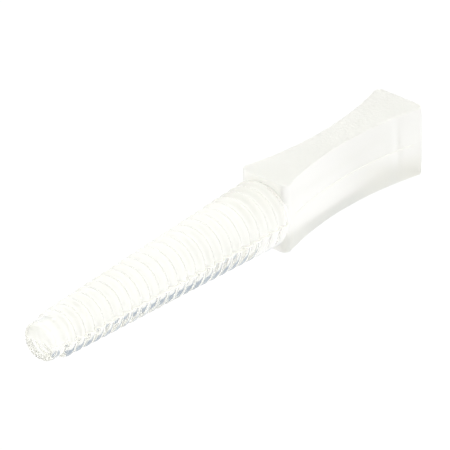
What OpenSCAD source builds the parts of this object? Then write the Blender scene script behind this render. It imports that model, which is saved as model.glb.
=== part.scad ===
// Tapered ribbed wall anchor with a waisted driving head, in clear plastic.
// Frame: millimetres, X along the anchor from the driving face (x = 0) to the nose,
// Z up, with the mould parting plane at z = 0 and the anchor's axis on X.

/* [Overall] */
// Length from the driving face to the nose
overall_length = 48.2; // [46.2:0.5:51.2]

/* [Head] */
// Length of the head block along the anchor
head_length = 18.9; // [17:0.1:20]
// Width of the head across its two ends, on the parting plane
head_width = 5.8; // [4.6:0.1:7]
// Height of the head, from its flat bottom to its flat top
head_height = 6.8; // [6.6:0.1:9]
// Width of the head at the middle of its waist, on the parting plane
waist_width = 3; // [2:0.1:3.6]
// How far the mould's draft takes in each side between the parting plane and the flats
draft_inset = 0.1; // [0.02:0.02:0.2]
// Radius of the head's four upright corners
corner_radius = 0.6; // [0.1:0.05:0.7]

/* [Shank] */
// Diameter over the upper halves of the ribs, where the shank leaves the head
crest_diameter_at_head = 6.3; // [5.5:0.1:6.4]
// Diameter over the upper halves of the ribs, next to the nose
crest_diameter_at_nose = 4.3; // [4.2:0.05:5]
// Height of a rib's upper half above the shank's core
upper_rib_height = 0.3; // [0.1:0.05:0.4]
// Height of a rib's lower half, which the mould leaves a little prouder
lower_rib_height = 0.4; // [0.4:0.05:0.5]
// Share of a rib's length that is its narrow crest
crest_share = 0.22; // [0.05:0.01:0.6]
// Number of ribs
rib_count = 24; // [20:1:24]
// Length of bare core between the head and the first rib
bare_core_length = 0.05; // [0.05:0.05:0.6]

/* [Nose] */
// Distance from the crest of the last rib to the end of the nose
nose_length = 2.2; // [2:0.1:3]
// Diameter of the smooth band between the ribs and the rounded end
nose_band_diameter = 3.7; // [3:0.05:3.7]
// Radius that rounds the rim of the nose's flat end
nose_rounding = 0.45; // [0.1:0.05:0.9]

/* [Parting line] */
// How far the seam of the mould's two halves stands proud
seam_height = 0.06; // [0.02:0.01:0.1]
// Thickness of the seam along the head, half of it on each side of the parting plane
head_seam_thickness = 0.08; // [0.04:0.01:0.16]
// Thickness of the seam along the shank, all of it under the parting plane
shank_seam_thickness = 0.14; // [0.06:0.01:0.2]

/* [Hidden] */
$fn = 96;
// Small extra length that makes a cut pass right through
cut_margin = 1;
// Straight pieces that make up the nose's rounded rim
rounding_steps = 12;

// The ribs follow one another without a gap, so a rib is as long as the pitch.
ribs_start = head_length + bare_core_length;
last_crest = overall_length - nose_length;
rib_pitch = (last_crest - ribs_start) / (rib_count - 1 / 2);
first_crest = ribs_start + rib_pitch / 2;
ribs_end = last_crest + rib_pitch / 2;

// Each side of the head is one arc, hollowed by this much at mid-length.
waist_depth = (head_width - waist_width) / 2;
side_radius = (pow(head_length / 2, 2) + pow(waist_depth, 2)) / (2 * waist_depth);
side_centre = waist_width / 2 + side_radius;

// The fillet at each upright corner touches the end face and the side arc.
fillet_reach = side_radius + corner_radius;
fillet_x = corner_radius;
fillet_y = side_centre - sqrt(pow(fillet_reach, 2) - pow(head_length / 2 - fillet_x, 2));

rib_names = [for (index = [1 : rib_count]) str("rib_", index < 10 ? "0" : "", index)];
side_names = ["right", "left"];

function crest_place(index) = first_crest + (index - 1) * rib_pitch;

function crest_radius(x) =
    let (share = (x - first_crest) / (last_crest - first_crest))
    (crest_diameter_at_head + (crest_diameter_at_nose - crest_diameter_at_head) * share) / 2;

function core_radius(x) = crest_radius(x) - upper_rib_height;

// Corners of one rib's section, as [place along the axis, radius]
function rib_section(index, height) =
    let (
        crest = crest_place(index),
        half_base = rib_pitch / 2,
        half_crest = half_base * crest_share
    )
    [
        [crest - half_base, core_radius(crest - half_base)],
        [crest - half_crest, core_radius(crest - half_crest) + height],
        [crest + half_crest, core_radius(crest + half_crest) + height],
        [crest + half_base, core_radius(crest + half_base)]
    ];

// The nose's rounded rim from its band to its flat end, as [place along the axis, radius].
// The points stand proud of it at the band, and less and less towards the end.
function nose_rim(proud) = [
    for (step = [0 : rounding_steps])
        let (
            turn = 90 * step / rounding_steps,
            reach = nose_rounding + proud * pow(cos(turn), 2)
        )
        [
            overall_length - nose_rounding + reach * sin(turn),
            nose_band_diameter / 2 - nose_rounding + reach * cos(turn)
        ]
];

// Turns a shape that was revolved about Z so that its axis lies along X.
module along_x() {
    rotate([0, 90, 0])
        children();
}

// What the fillet takes off the upright corner at the driving face, on the +Y side
module corner_fillet() {
    corner = [0, head_width / 2];
    centre = [fillet_x, fillet_y];
    arc_centre = [head_length / 2, side_centre];
    // Where the fillet touches the side arc
    side_touch = centre + (arc_centre - centre) * corner_radius / fillet_reach;
    difference() {
        polygon([
            corner - [cut_margin, 0],
            [-cut_margin, fillet_y],
            centre,
            side_touch,
            side_touch + [0, cut_margin],
            corner + [-cut_margin, cut_margin]
        ]);
        translate(centre)
            circle(r = corner_radius);
    }
}

module head_outline() {
    difference() {
        translate([0, -head_width / 2])
            square([head_length, head_width]);
        for (side = [0, 1]) {
            mirror([0, side]) {
                corner_fillet();
                translate([head_length, 0])
                    mirror([1, 0])
                        corner_fillet();
            }
        }
    }
}

// The cone that hollows one side of the head's upper half.
// It widens with height, so the side leans in by the draft.
module side_hollow() {
    half_height = head_height / 2;
    cut_height = half_height + 2 * cut_margin;
    low_radius = side_radius - draft_inset * cut_margin / half_height;
    high_radius = side_radius + draft_inset * (half_height + cut_margin) / half_height;
    translate([head_length / 2, side_centre, -cut_margin])
        cylinder(h = cut_height, r1 = low_radius, r2 = high_radius, $fn = 360);
}

module half_block() {
    difference() {
        linear_extrude(height = head_height / 2)
            head_outline();
        for (side = [0, 1]) {
            mirror([0, side, 0])
                side_hollow();
        }
    }
}

module head_block() {
    color("honeydew") {
        half_block();
        mirror([0, 0, 1])
            half_block();
    }
}

module shank_core() {
    color("mintcream")
        translate([head_length, 0, 0])
            along_x()
                cylinder(
                    h = ribs_end - head_length,
                    r1 = core_radius(head_length),
                    r2 = core_radius(ribs_end)
                );
}

module nose() {
    section = concat(
        [[ribs_end, 0], [ribs_end, core_radius(ribs_end)]],
        nose_rim(0),
        [[overall_length, 0]]
    );
    color("azure")
        along_x()
            rotate_extrude()
                polygon([for (point = section) [point[1], point[0]]]);
}

// One half of a rib, turned through 180 degrees from the given start
module half_rib(index, height, start) {
    rotate([0, 0, start])
        rotate_extrude(angle = 180)
            polygon([for (point = rib_section(index, height)) [point[1], point[0]]]);
}

module rib(index) {
    color("ivory")
        along_x() {
            half_rib(index, upper_rib_height, 90);
            half_rib(index, lower_rib_height, -90);
        }
}

// A thin line of flash along one concave side of the head
module head_seam(side) {
    seam_end = 2 * corner_radius;
    color("lightcyan")
        mirror([0, side, 0])
            linear_extrude(height = head_seam_thickness, center = true)
                intersection() {
                    translate([head_length / 2, side_centre])
                        difference() {
                            circle(r = side_radius, $fn = 360);
                            circle(r = side_radius - seam_height, $fn = 360);
                        }
                    translate([seam_end, 0])
                        square([head_length - 2 * seam_end, head_width / 2]);
                }
}

// A thin ledge of flash that follows the ribs' lower halves and the nose on one side
module shank_seam(side) {
    foot = concat(
        [for (index = [1 : rib_count]) each rib_section(index, lower_rib_height)],
        nose_rim(0)
    );
    crown = concat(
        [
            for (index = [1 : rib_count], corner = rib_section(index, lower_rib_height))
                corner + [0, seam_height]
        ],
        nose_rim(seam_height)
    );
    color("lightcyan")
        mirror([0, side, 0])
            translate([0, 0, -shank_seam_thickness])
                linear_extrude(height = shank_seam_thickness)
                    polygon(concat(foot, [for (place = [len(crown) - 1 : -1 : 0]) crown[place]]));
}

head_block();
shank_core();
nose();
for (index = [1 : rib_count]) {
    rib(index);
}
for (side = [0, 1]) {
    head_seam(side);
    shank_seam(side);
}
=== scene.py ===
"""Looks, light and camera for the clear plastic wall anchor.

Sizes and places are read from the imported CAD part, apart from the few details named below.
Metres, X from the driving face to the nose, Z up, and the mould's parting plane at z = 0.
The anchor is one clear moulding, so where two of its regions touch, their contact faces let
light straight through, and only the outer skin bends it.
"""
import math

import bpy
from mathutils import Matrix, Vector
from mathutils.geometry import normal as face_normal


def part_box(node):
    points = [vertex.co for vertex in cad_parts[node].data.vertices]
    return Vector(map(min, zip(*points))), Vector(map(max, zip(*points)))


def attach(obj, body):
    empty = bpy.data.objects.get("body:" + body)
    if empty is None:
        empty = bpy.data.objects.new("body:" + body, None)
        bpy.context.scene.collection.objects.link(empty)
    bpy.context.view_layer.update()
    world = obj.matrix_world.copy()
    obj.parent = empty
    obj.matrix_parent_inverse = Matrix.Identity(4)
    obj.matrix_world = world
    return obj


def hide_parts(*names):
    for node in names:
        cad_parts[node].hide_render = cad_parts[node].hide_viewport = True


MM = 0.001
QUARTER_TURN = math.pi / 2

# Details too small for the CAD's boxes to give
EDGE_RADIUS = 0.6 * MM  # rounding of the head's four upright edges
FLAT_RIM = 0.1 * MM  # rounding of the edges round the head's top and bottom flats
ROOT_FADE = 0.4 / MM  # how fast the shank's root sinks into the head's sides
LOWER_RIB_POWER = 2.2  # how broad the crest of a rib's lower half is
AIR_GAP = 0.04 * MM  # between the head's flat bottom and the floor it rests on

# How finely surfaces are divided
ARC_STEPS = 10  # round each small rounding
SIDE_STEPS = 24  # up a quarter of the head's side
FLAT_STEPS = 4  # across half of the head's flats
LENGTH_STEPS = 64  # along the head between its roundings
TURN_STEPS = 24  # round a quarter of the shank
RIB_STEPS = 20  # along a rib
BAND_STEPS = 8  # along the nose's band
RIDGE_STEPS = 6  # over the crown of a seam

# Limits of the mesh building
SLOPE_STEP = 1e-4  # share of a surface over which its slope is measured
POLE_STEP = 1e-3  # share of a surface to step away from a point that has no slope
POLE_LIMIT = 1e-9  # metres of slope below which a point counts as having none
SAME_POINT = 1e-9  # metres within which two points are one vertex
ON_PLANE = 0.01 * MM  # how near to a plane a CAD vertex counts as on it

# Material slots. Every piece has the first two, and what the others hold depends on the piece.
SKIN, CONTACT, UNDERSIDE = 0, 1, 2
LEDGE = 3
GRAINED, FRONT = 3, 4

# The plastic. Clarity is the share of light that passes straight into it, and the rest is scattered.
# No roughness runs across 0.27, near which renders turn speckled.
PLASTIC_IOR = 1.49
TINT = (0.984, 0.985, 0.955)
HEAD_TINT = (0.997, 0.995, 0.967)
ROUGHNESS_SPREAD = 0.15  # how far roughness varies either way, as a share of it
GRAIN_DETAIL = 3
GRAIN_STRENGTH = 0.3
POLISHED = dict(clarity=0.95, roughness=0.12, grain_size=0.2 * MM, grain_depth=0.004 * MM)
HAZY = dict(clarity=0.65, roughness=0.18, grain_size=0.2 * MM, grain_depth=0.004 * MM)
SOFT = dict(clarity=1.0, roughness=0.34, grain_size=0.25 * MM, grain_depth=0.002 * MM)
SANDED = dict(clarity=0.65, roughness=0.36, grain_size=0.3 * MM, grain_depth=0.12 * MM)
MILKY = dict(clarity=0.25, roughness=0.34, grain_size=0.3 * MM, grain_depth=0.1 * MM)
CREAMY = dict(clarity=0.0, roughness=0.4, grain_size=0.2 * MM, grain_depth=0.002 * MM)

# The studio, with its floor's reach in metres
FLOOR_REACH = 3.0
FLOOR_GLOW = 1.05
ROOM_LIGHT = (1.17, 1.165, 1.11, 1)
ROOM_DARK = (0.38, 0.45, 0.55, 1)
DARK_TOWARD = Vector((-0.67, -0.68, 0.22))  # where the room's dark zone is
DARK_EDGES = (0.9, 0.98)  # cosines of the angles from its middle where it starts and is full
MIX_SHARE, MIX_FIRST, MIX_SECOND, MIX_RESULT = 0, 6, 7, 2  # sockets of a Mix node for colours
LIGHT_PATHS = {
    "max_bounces": 48,
    "glossy_bounces": 32,
    "diffuse_bounces": 32,
    "transmission_bounces": 24,
    "transparent_max_bounces": 64,
}

# The camera: angles in degrees, distance in lengths of the anchor, aim from the anchor's middle,
# lens and sensor in millimetres, and clipping in metres
AZIMUTH, ELEVATION, ROLL = 131.15, 30.09, -0.54
DISTANCE = 16.237344
AIM = Vector((0.4, 0.481, 1.284)) * MM
LENS = 720
SENSOR_WIDTH = 36
CLIP_START, CLIP_END = 0.01, 20

# The upper +Y quarter of the head and its three mirror images
QUARTERS = [(1, y, z) for y in (1, -1) for z in (1, -1)]


def clamp(value, low=0.0, high=1.0):
    return max(low, min(high, value))


def steps(count, start=0.0, end=1.0):
    """Evenly spaced values, both ends included."""
    return [start + (end - start) * i / count for i in range(count + 1)]


def span_at(u, count):
    """Which of count equal spans of 0 to 1 holds u, and how far along that span it is."""
    place = clamp(u) * count
    span = min(int(place), count - 1)
    return span, place - span


def mirrored(vector, signs):
    return Vector(c * s for c, s in zip(vector, signs, strict=True))


def outline_loop(upper, lower):
    """A closed loop made of an upper and a lower quarter and their mirror images."""
    return (
        upper
        + [mirrored(p, (1, -1, 1)) for p in reversed(upper[:-1])]
        + [mirrored(p, (1, -1, -1)) for p in lower]
        + [mirrored(p, (1, 1, -1)) for p in reversed(lower[:-1])]
    )


def straight(x0, y0, x1, y1):
    """The line through two points, as a function of x."""
    return lambda x: y0 + (y1 - y0) * (x - x0) / (x1 - x0)


# ---------------------------------------------------------------- sizes taken from the frame


class Anchor:
    """Sizes of the anchor, read from the CAD nodes."""

    def __init__(self, nodes):
        self.ribs = sorted(name for name in nodes if name.startswith("rib_"))
        self.read_head([v.co for v in nodes["head_block"].data.vertices])
        self.read_shank()
        self.read_nose([v.co for v in nodes["nose"].data.vertices])
        self.read_seams()

    def read_head(self, points):
        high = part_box("head_block")[1]
        self.head_length = high.x
        self.half_width = high.y
        self.half_height = high.z
        self.waist = min(abs(p.y) for p in points if abs(p.z) < ON_PLANE)
        flat_waist = min(abs(p.y) for p in points if abs(p.z) > self.half_height - ON_PLANE)
        self.draft = (self.waist - flat_waist) / self.half_height

        # Each side of the head is one arc about (mid, arc_centre) with a fillet at both ends,
        # and the head is widest at the crowns of those fillets.
        self.mid = self.head_length / 2
        self.fillet_y = self.half_width - EDGE_RADIUS
        along = self.mid - EDGE_RADIUS
        aside = self.fillet_y - self.waist
        room = along ** 2 + aside ** 2 - EDGE_RADIUS ** 2
        self.arc_radius = room / (2 * (self.half_width - self.waist))
        self.arc_centre = self.waist + self.arc_radius
        self.fillet_turn = QUARTER_TURN + math.asin(along / (self.arc_radius + EDGE_RADIUS))
        self.fillet_end = EDGE_RADIUS * (1 - math.cos(self.fillet_turn))

    def read_shank(self):
        first_low, first_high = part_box(self.ribs[0])
        last_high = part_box(self.ribs[-1])[1]
        self.ribs_start = first_low.x
        self.ribs_end = last_high.x
        self.pitch = (self.ribs_end - self.ribs_start) / len(self.ribs)
        self.crest = straight(
            self.ribs_start + self.pitch / 2, first_high.z,
            self.ribs_end - self.pitch / 2, last_high.z,
        )
        self.root_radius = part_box("shank_core")[1].z
        self.rib_height = self.crest(self.head_length) - self.root_radius
        # The lower halves of the ribs stand out further than the upper ones.
        self.lower_rib_height = self.rib_height + (-first_low.z - first_high.z)

    def read_nose(self, points):
        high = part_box("nose")[1]
        self.nose_end = high.x
        self.nose_radius = high.z
        flat_end = [p.yz.length for p in points if p.x > self.nose_end - ON_PLANE]
        self.nose_rounding = self.nose_radius - max(flat_end)
        self.band_end = self.nose_end - self.nose_rounding

    def read_seams(self):
        shank_low, shank_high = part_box("shank_seam_right")
        self.ledge = -shank_low.z
        # The seam is widest on the first rib, whose lower half reaches down by its own radius.
        self.seam_proud = shank_high.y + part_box(self.ribs[0])[0].z
        head_low, head_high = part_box("head_seam_right")
        self.seam_half = head_high.z
        self.seam_start = head_low.x
        self.seam_end = head_high.x

    def core(self, x):
        return self.crest(x) - self.rib_height


# ---------------------------------------------------------------- mesh building


def corner_of(surface, u, v):
    """The point of surface(u, v) and the outward normal there, from small steps either way."""
    along_u = surface(u + SLOPE_STEP, v) - surface(u - SLOPE_STEP, v)
    along_v = surface(u, v + SLOPE_STEP) - surface(u, v - SLOPE_STEP)
    across = along_v.cross(along_u)
    if across.length < POLE_LIMIT * max(along_u.length, along_v.length):
        inward = u + POLE_STEP if u < 0.5 else u - POLE_STEP
        return surface(u, v), corner_of(surface, inward, v)[1]
    return surface(u, v), across.normalized()


class Skin:
    """The faces of one closed piece, each corner with the true normal of its surface."""

    def __init__(self):
        self.vertices = {}
        self.faces = []
        self.normals = []
        self.kinds = []

    def vertex(self, point):
        key = tuple(round(c / SAME_POINT) for c in point)
        return self.vertices.setdefault(key, (len(self.vertices), point))[0]

    def face(self, corners, kind):
        """Adds a face from (point, normal) corners, turned to face along its normals."""
        kept = {}
        for point, normal in corners:
            kept.setdefault(self.vertex(point), (point, normal))
        if len(kept) < 3:
            return
        ring = list(kept.items())
        facing = face_normal([point for _, (point, _) in ring])
        lean = sum((normal for _, (_, normal) in ring), Vector())
        if facing.dot(lean) < 0:
            ring.reverse()
        self.faces.append([number for number, _ in ring])
        self.normals.extend(normal for _, (_, normal) in ring)
        self.kinds.append(kind)

    def flat(self, points, normal, kind):
        self.face([(point, normal) for point in points], kind)

    def patch(self, surface, us, vs, kind, signs, outward=1):
        """Adds faces over surface(u, v), mirrored by signs, facing inward if outward is -1."""
        grid = [
            [
                (mirrored(point, signs), mirrored(normal, signs) * outward)
                for point, normal in (corner_of(surface, u, v) for v in vs)
            ]
            for u in us
        ]
        for row, next_row in zip(grid, grid[1:]):
            for j in range(len(vs) - 1):
                self.face([row[j], row[j + 1], next_row[j + 1], next_row[j]], kind)

    def build(self, name, materials):
        mesh = bpy.data.meshes.new(name)
        mesh.from_pydata([point for _, point in self.vertices.values()], [], self.faces)
        for material in materials:
            mesh.materials.append(material)
        mesh.polygons.foreach_set("material_index", self.kinds)
        mesh.polygons.foreach_set("use_smooth", [True] * len(self.faces))
        mesh.update()
        mesh.normals_split_custom_set(self.normals)
        piece = bpy.data.objects.new(name, mesh)
        bpy.context.scene.collection.objects.link(piece)
        return piece


# ---------------------------------------------------------------- the head


def rounding_stations(radius, turn):
    """Places along a rounding that leaves the head's end face and turns through this angle."""
    return [radius * (1 - math.cos(turn * share)) for share in steps(ARC_STEPS)]


def head_stations(size):
    """Places along the head from its driving face to its front, closer together at both ends."""
    rim = rounding_stations(FLAT_RIM, QUARTER_TURN)
    fillet = rounding_stations(EDGE_RADIUS, size.fillet_turn)
    rear = sorted(set(rim + fillet))
    front = [size.head_length - x for x in reversed(rear)]
    return rear + steps(LENGTH_STEPS, rear[-1], front[0])[1:-1] + front


def head_half_width(size, x):
    """Half the head's width at the parting plane, with the fillets at both ends."""
    x = min(x, size.head_length - x)
    if x < size.fillet_end:
        rise = max(0.0, EDGE_RADIUS ** 2 - (x - EDGE_RADIUS) ** 2)
        return size.fillet_y + math.sqrt(rise)
    return size.arc_centre - math.sqrt(size.arc_radius ** 2 - (x - size.mid) ** 2)


def head_section(size, x, v):
    """A point on a quarter of the head's outline at x.

    v runs up the side to 1, round the rim of the flat to 2 and in across the flat to 3.
    The rim's rounding also takes the flat in at both ends of the head.
    """
    near = clamp(min(x, size.head_length - x), 0.0, FLAT_RIM)
    radius = math.sqrt(FLAT_RIM ** 2 - (FLAT_RIM - near) ** 2)
    turn_z = size.half_height - FLAT_RIM
    side = head_half_width(size, x)
    lean = math.atan(size.draft)
    start_z = turn_z + radius * math.sin(lean)
    turn_y = side - size.draft * start_z - radius * math.cos(lean)
    if v <= 1:
        z = size.seam_half + (start_z - size.seam_half) * max(v, 0.0)
        y = side - size.draft * z
    elif v <= 2:
        angle = lean + (QUARTER_TURN - lean) * (v - 1)
        y = turn_y + radius * math.cos(angle)
        z = turn_z + radius * math.sin(angle)
    else:
        y = turn_y * (3 - min(v, 3.0))
        z = turn_z + radius
    # The shank's root swells the sides a little where it runs into them.
    root = size.root_radius - ROOT_FADE * (size.head_length - x) ** 2
    if 0 < math.hypot(y, z) < root:
        swell = root / math.hypot(y, z)
        y, z = y * swell, z * swell
    return Vector((x, y, z))


def build_head(size, materials):
    stations = head_stations(size)
    last = len(stations) - 1

    def quarter(u, v):
        i, share = span_at(u, last)
        return head_section(size, stations[i] + (stations[i + 1] - stations[i]) * share, v)

    us = steps(last)
    side_rows = steps(SIDE_STEPS)
    flat_rows = steps(ARC_STEPS, 1, 2) + steps(FLAT_STEPS, 2, 3)[1:]
    skin = Skin()
    for signs in QUARTERS:
        skin.patch(quarter, us, side_rows, SKIN if signs[2] > 0 else UNDERSIDE, signs)
        skin.patch(quarter, us, flat_rows, GRAINED, signs)
    # A narrow strip joins the two halves, and the seam stands on most of it.
    for side in (1, -1):
        for i in range(last):
            covered = size.seam_start <= (stations[i] + stations[i + 1]) / 2 <= size.seam_end
            corners = [
                (mirrored(quarter(us[k], 0), (1, side, z)), Vector((0, side, 0)))
                for k, z in ((i, 1), (i, -1), (i + 1, -1), (i + 1, 1))
            ]
            skin.face(corners, CONTACT if covered else SKIN)
    add_head_ends(skin, size, quarter, side_rows + flat_rows[1:])
    return skin.build("head", materials)


def add_head_ends(skin, size, quarter, rows):
    """Adds the driving face, and the front face with the shank's root on it."""
    rear_edge, front_edge = ([quarter(u, v) for v in rows] for u in (0, 1))
    skin.flat(outline_loop(rear_edge, rear_edge), Vector((-1, 0, 0)), SKIN)
    front = outline_loop(front_edge, front_edge)
    root = []
    for point in front:
        scale = size.root_radius / math.hypot(point.y, point.z)
        root.append(Vector((point.x, point.y * scale, point.z * scale)))
    for i in range(len(front)):
        skin.flat([front[i - 1], front[i], root[i], root[i - 1]], Vector((1, 0, 0)), FRONT)
    skin.flat(root, Vector((1, 0, 0)), CONTACT)


# ---------------------------------------------------------------- turned pieces


def turned_point(x, radius, height):
    """The point at this height on the ring of this radius, on the +Y side."""
    return Vector((x, math.sqrt(radius ** 2 - height ** 2), height))


def add_turned(skin, profile, start, end, count, kind, half, covered=0.0, strip=CONTACT, outward=1):
    """Adds the skin turned from profile(x), over (half = 1) or under (half = -1) the parting plane.

    covered is the height of the strip next to the parting plane on which a seam stands.
    """

    def surface(u, v):
        x = start + (end - start) * clamp(u)
        first = math.asin(covered / profile(x))
        angle = first + (QUARTER_TURN - first) * clamp(v)
        return Vector((x, profile(x) * math.cos(angle), profile(x) * math.sin(angle)))

    us = steps(count)
    for side in (1, -1):
        signs = (1, side, half)
        skin.patch(surface, us, steps(TURN_STEPS), kind, signs, outward)
        for low, high in zip(us, us[1:]):
            corners = []
            for u, height in ((low, 0.0), (low, covered), (high, covered), (high, 0.0)):
                x = start + (end - start) * u
                point = mirrored(turned_point(x, profile(x), height), signs)
                corners.append((point, Vector((0, side * outward, 0))))
            skin.face(corners, strip)


def turned_loop(x, radius, covered):
    """The points round a turned piece at x, covered as far as add_turned covers it."""

    def quarter(height):
        turns = steps(TURN_STEPS, math.asin(height / radius), QUARTER_TURN)
        return [Vector((x, radius * math.cos(turn), radius * math.sin(turn))) for turn in turns]

    return outline_loop(quarter(0.0), [turned_point(x, radius, 0.0), *quarter(covered)])


def rib_half(size, start, height, share_at):
    """Radius along one half of a rib, as a function of x.

    share_at gives the share of its height that the rib has, from its crest (0) to its valleys (1).
    """
    centre = start + size.pitch / 2

    def profile(x):
        away = min(abs(x - centre) / (size.pitch / 2), 1.0)
        return size.core(x) + height * share_at(away)

    return profile


def upper_rib(size, start):
    """One smooth wave."""
    return rib_half(size, start, size.rib_height, lambda away: (1 + math.cos(math.pi * away)) / 2)


def lower_rib(size, start):
    """A broad crest between two sharp valleys, a little prouder than the upper half."""
    return rib_half(size, start, size.lower_rib_height, lambda away: 1 - away ** LOWER_RIB_POWER)


def build_rib(size, index, materials):
    start = size.ribs_start + index * size.pitch
    end = start + size.pitch
    upper = upper_rib(size, start)
    lower = lower_rib(size, start)
    skin = Skin()
    add_turned(skin, upper, start, end, RIB_STEPS, SKIN, 1)
    add_turned(skin, lower, start, end, RIB_STEPS, UNDERSIDE, -1, size.ledge)
    add_turned(skin, size.core, start, end, 1, CONTACT, 1, outward=-1)
    add_turned(skin, size.core, start, end, 1, CONTACT, -1, size.ledge, outward=-1)
    # The lower half stands out further, which leaves a narrow ledge at the parting plane.
    places = steps(RIB_STEPS, start, end)
    for side in (1, -1):
        for x0, x1 in zip(places, places[1:]):
            ring = [(x0, upper(x0)), (x0, lower(x0)), (x1, lower(x1)), (x1, upper(x1))]
            skin.flat([Vector((x, side * y, 0)) for x, y in ring], Vector((0, 0, 1)), LEDGE)
    return skin.build(f"{size.ribs[index]}_ring", materials)


def build_core(size, materials):
    skin = Skin()
    edges = [size.ribs_start + i * size.pitch for i in range(len(size.ribs) + 1)]
    for half, covered, kind in ((1, 0.0, SKIN), (-1, size.ledge, UNDERSIDE)):
        add_turned(skin, size.core, size.head_length, size.ribs_start, 1, kind, half, covered, kind)
        for start, end in zip(edges, edges[1:]):
            add_turned(skin, size.core, start, end, 1, CONTACT, half, covered)
    for x, facing in ((size.head_length, -1), (size.ribs_end, 1)):
        skin.flat(turned_loop(x, size.core(x), size.ledge), Vector((facing, 0, 0)), CONTACT)
    return skin.build("core", materials)


def nose_profile(size):
    """Radius along the nose: a smooth band that rounds over into the flat end."""
    band = straight(size.ribs_end, size.core(size.ribs_end), size.band_end, size.nose_radius)

    def profile(x):
        if x <= size.band_end:
            return band(x)
        over = min(x - size.band_end, size.nose_rounding)
        rest = math.sqrt(size.nose_rounding ** 2 - over ** 2)
        return size.nose_radius - size.nose_rounding + rest

    return profile


def build_nose(size, materials):
    skin = Skin()
    profile = nose_profile(size)
    turns = steps(ARC_STEPS, 0, QUARTER_TURN)
    rim = [size.band_end + size.nose_rounding * math.sin(turn) for turn in turns]
    for half, covered, kind in ((1, 0.0, SKIN), (-1, size.ledge, UNDERSIDE)):
        add_turned(skin, profile, size.ribs_end, size.band_end, BAND_STEPS, kind, half, covered)
        for start, end in zip(rim, rim[1:]):
            add_turned(skin, profile, start, end, 1, kind, half, covered)
    joint, tip = (turned_loop(x, profile(x), size.ledge) for x in (size.ribs_end, size.nose_end))
    skin.flat(joint, Vector((-1, 0, 0)), CONTACT)
    for half, kind in ((1, SKIN), (-1, UNDERSIDE)):
        skin.flat([point for point in tip if point.z * half >= 0], Vector((1, 0, 0)), kind)
    return skin.build("nose_tip", materials)


# ---------------------------------------------------------------- seams


def build_seam(name, stations, side, materials):
    """A thin rounded ridge along the parting plane, standing on the piece it belongs to.

    Each station gives the two edges of the ridge's foot and the rise of its crown.
    """
    last = len(stations) - 1

    def surface(u, v):
        i, share = span_at(u, last)
        turn = math.pi * clamp(v)
        near, far = (
            low + (high - low) * (1 - math.cos(turn)) / 2 + rise * math.sin(turn)
            for low, high, rise in stations[i:i + 2]
        )
        return near + (far - near) * share

    skin = Skin()
    signs = (1, side, 1)
    skin.patch(surface, steps(last), steps(RIDGE_STEPS), SKIN, signs)
    for (low0, high0, rise0), (low1, high1, rise1) in zip(stations, stations[1:]):
        foot = [mirrored(p, signs) for p in (low0, high0, high1, low1)]
        skin.flat(foot, mirrored(-(rise0 + rise1).normalized(), signs), CONTACT)
    return skin.build(name, materials)


def head_seam_stations(size):
    """Along the hollowed side, where the seam stands square on the parting plane."""
    places = [x for x in head_stations(size) if size.seam_start <= x <= size.seam_end]
    stations = []
    for x in places:
        y = head_section(size, x, 0).y
        rise = 0.0 if x in (places[0], places[-1]) else size.seam_proud
        stations.append((
            Vector((x, y, -size.seam_half)), Vector((x, y, size.seam_half)), Vector((0, rise, 0)),
        ))
    return stations


def shank_seam_stations(size):
    """Over the lower halves of the ribs, along the nose's band and round its rim."""
    stations = []

    def add(x, radius, turn, proud):
        low = mirrored(turned_point(x, radius, size.ledge), (1, 1, -1))
        rise = Vector((math.sin(turn), math.cos(turn), 0)) * proud
        stations.append((low, turned_point(x, radius, 0.0), rise))

    for index in range(len(size.ribs)):
        start = size.ribs_start + index * size.pitch
        profile = lower_rib(size, start)
        for x in steps(RIB_STEPS, start, start + size.pitch)[:-1]:
            add(x, profile(x), 0.0, size.seam_proud if stations else 0.0)
    profile = nose_profile(size)
    for x in steps(BAND_STEPS, size.ribs_end, size.band_end)[:-1]:
        add(x, profile(x), 0.0, size.seam_proud)
    for turn in steps(ARC_STEPS, 0, QUARTER_TURN):
        x = size.band_end + size.nose_rounding * math.sin(turn)
        add(x, profile(x), turn, size.seam_proud * math.cos(turn) ** 2)
    return stations


# ---------------------------------------------------------------- materials


def node_at(tree, kind, **inputs):
    """A new node with its plain inputs set by their names, with _ for a space."""
    node = tree.nodes.new(kind)
    for name, value in inputs.items():
        node.inputs[name.replace("_", " ")].default_value = value
    return node


def one_node_material(name, kind, **inputs):
    """A material that is one plain shader."""
    material = bpy.data.materials.new(name)
    material.use_nodes = True
    tree = material.node_tree
    tree.nodes.remove(tree.nodes["Principled BSDF"])
    shader = node_at(tree, kind, **inputs)
    tree.links.new(shader.outputs[0], tree.nodes["Material Output"].inputs["Surface"])
    return material


def clear_plastic(name, tint, clarity, roughness, grain_size, grain_depth):
    """Clear moulded plastic with a fine grain on its skin."""
    material = bpy.data.materials.new(name)
    material.use_nodes = True
    tree = material.node_tree
    shader = tree.nodes["Principled BSDF"]
    shader.inputs["Base Color"].default_value = (*tint, 1)
    shader.inputs["Transmission Weight"].default_value = clarity
    shader.inputs["IOR"].default_value = PLASTIC_IOR
    place = tree.nodes.new("ShaderNodeTexCoord")
    grain = node_at(tree, "ShaderNodeTexNoise", Scale=1 / grain_size, Detail=GRAIN_DETAIL)
    tree.links.new(place.outputs["Object"], grain.inputs["Vector"])
    gloss = node_at(
        tree, "ShaderNodeMapRange",
        To_Min=roughness * (1 - ROUGHNESS_SPREAD), To_Max=roughness * (1 + ROUGHNESS_SPREAD),
    )
    tree.links.new(grain.outputs["Fac"], gloss.inputs["Value"])
    tree.links.new(gloss.outputs["Result"], shader.inputs["Roughness"])
    bump = node_at(tree, "ShaderNodeBump", Strength=GRAIN_STRENGTH, Distance=grain_depth)
    tree.links.new(grain.outputs["Fac"], bump.inputs["Height"])
    tree.links.new(bump.outputs["Normal"], shader.inputs["Normal"])
    return material


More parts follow.
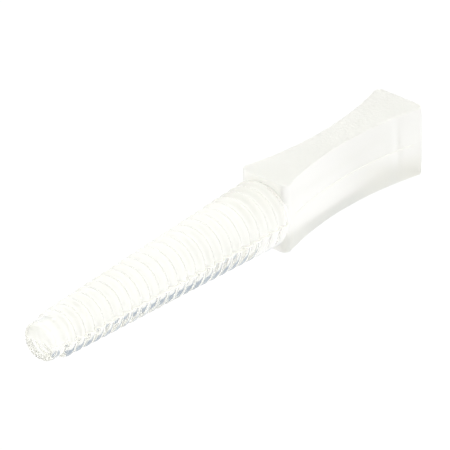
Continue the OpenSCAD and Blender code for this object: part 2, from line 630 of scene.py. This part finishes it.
def make_finishes():
    """The materials of each kind of piece, in the order of its slots."""
    contact = one_node_material("inside_contact", "ShaderNodeBsdfTransparent")
    polished = clear_plastic("polished_clear", TINT, **POLISHED)
    head = [
        clear_plastic("head_clear", HEAD_TINT, **SOFT),
        contact,
        clear_plastic("head_low_clear", HEAD_TINT, **SOFT),
        clear_plastic("head_grained", HEAD_TINT, **SANDED),
        clear_plastic("head_front_clear", HEAD_TINT, **MILKY),
    ]
    shank = [clear_plastic("shank_clear", TINT, **HAZY), contact, polished]
    flash = clear_plastic("seam_clear", TINT, **CREAMY)
    rib = [clear_plastic("rib_clear", TINT, **HAZY), contact, polished, flash]
    return {"head": head, "shank": shank, "rib": rib, "seam": [flash, contact]}


# ---------------------------------------------------------------- studio


def build_floor(floor_z):
    """A white light table."""
    mesh = bpy.data.meshes.new("floor")
    square = ((-1, -1), (1, -1), (1, 1), (-1, 1))
    corners = [(x * FLOOR_REACH, y * FLOOR_REACH, floor_z) for x, y in square]
    mesh.from_pydata(corners, [], [(0, 1, 2, 3)])
    mesh.materials.append(one_node_material("floor_glow", "ShaderNodeEmission", Strength=FLOOR_GLOW))
    floor = bpy.data.objects.new("floor", mesh)
    bpy.context.scene.collection.objects.link(floor)


def build_room():
    """Soft light from all round, with one soft dark zone low behind the anchor.

    The clear plastic shows that zone in its ribs' lower halves and along the head's lower edge.
    """
    world = bpy.data.worlds.new("room")
    world.use_nodes = True
    bpy.context.scene.world = world
    tree = world.node_tree
    place = tree.nodes.new("ShaderNodeTexCoord")
    toward = tree.nodes.new("ShaderNodeVectorMath")
    toward.operation = "DOT_PRODUCT"
    toward.inputs[1].default_value = DARK_TOWARD.normalized()
    tree.links.new(place.outputs["Generated"], toward.inputs[0])
    shade = node_at(tree, "ShaderNodeMapRange", From_Min=DARK_EDGES[0], From_Max=DARK_EDGES[1])
    shade.interpolation_type = "SMOOTHSTEP"
    tree.links.new(toward.outputs["Value"], shade.inputs["Value"])
    colour = tree.nodes.new("ShaderNodeMix")
    colour.data_type = "RGBA"
    colour.inputs[MIX_FIRST].default_value = ROOM_LIGHT
    colour.inputs[MIX_SECOND].default_value = ROOM_DARK
    tree.links.new(shade.outputs["Result"], colour.inputs[MIX_SHARE])
    tree.links.new(colour.outputs[MIX_RESULT], tree.nodes["Background"].inputs["Color"])


def build_camera(size):
    """The view from above and beyond the nose, on the anchor's +Y side, through a long lens."""
    azimuth, elevation, roll = (math.radians(angle) for angle in (AZIMUTH, ELEVATION, ROLL))
    back = Vector((
        math.sin(azimuth) * math.cos(elevation),
        -math.cos(azimuth) * math.cos(elevation),
        math.sin(elevation),
    ))
    right = Vector((math.cos(azimuth), math.sin(azimuth), 0))
    up = back.cross(right)
    turned_right = math.cos(roll) * right + math.sin(roll) * up
    turned_up = back.cross(turned_right)
    middle = Vector((size.nose_end / 2, 0, 0))
    turn = Matrix((turned_right, turned_up, back)).transposed().to_4x4()
    turn.translation = middle + AIM + back * (DISTANCE * size.nose_end)
    camera = bpy.data.objects.new("camera", bpy.data.cameras.new("camera"))
    camera.data.lens = LENS
    camera.data.sensor_width = SENSOR_WIDTH
    camera.data.clip_start = CLIP_START
    camera.data.clip_end = CLIP_END
    camera.matrix_world = turn
    bpy.context.scene.collection.objects.link(camera)
    bpy.context.scene.camera = camera


# ---------------------------------------------------------------- assembly


def finish_piece(piece, node):
    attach(piece, "root")
    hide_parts(node)


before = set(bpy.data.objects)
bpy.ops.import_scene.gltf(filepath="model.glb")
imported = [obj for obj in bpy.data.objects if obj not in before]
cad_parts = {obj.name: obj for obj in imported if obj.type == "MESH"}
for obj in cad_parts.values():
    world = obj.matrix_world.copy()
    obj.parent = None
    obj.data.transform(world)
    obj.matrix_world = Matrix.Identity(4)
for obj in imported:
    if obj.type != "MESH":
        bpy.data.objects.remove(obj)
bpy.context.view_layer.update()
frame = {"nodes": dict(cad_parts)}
anchor = Anchor(frame["nodes"])
finishes = make_finishes()

finish_piece(build_head(anchor, finishes["head"]), "head_block")
finish_piece(build_core(anchor, finishes["shank"]), "shank_core")
finish_piece(build_nose(anchor, finishes["shank"]), "nose")
for index, rib in enumerate(anchor.ribs):
    finish_piece(build_rib(anchor, index, finishes["rib"]), rib)

for side, word in ((1, "right"), (-1, "left")):
    ridge = build_seam(f"head_flash_{word}", head_seam_stations(anchor), side, finishes["seam"])
    finish_piece(ridge, f"head_seam_{word}")
    ridge = build_seam(f"shank_flash_{word}", shank_seam_stations(anchor), side, finishes["seam"])
    finish_piece(ridge, f"shank_seam_{word}")

build_floor(-anchor.half_height - AIR_GAP)
build_room()
build_camera(anchor)
bpy.context.scene.view_settings.view_transform = "Standard"
for setting, bounces in LIGHT_PATHS.items():
    setattr(bpy.context.scene.cycles, setting, bounces)
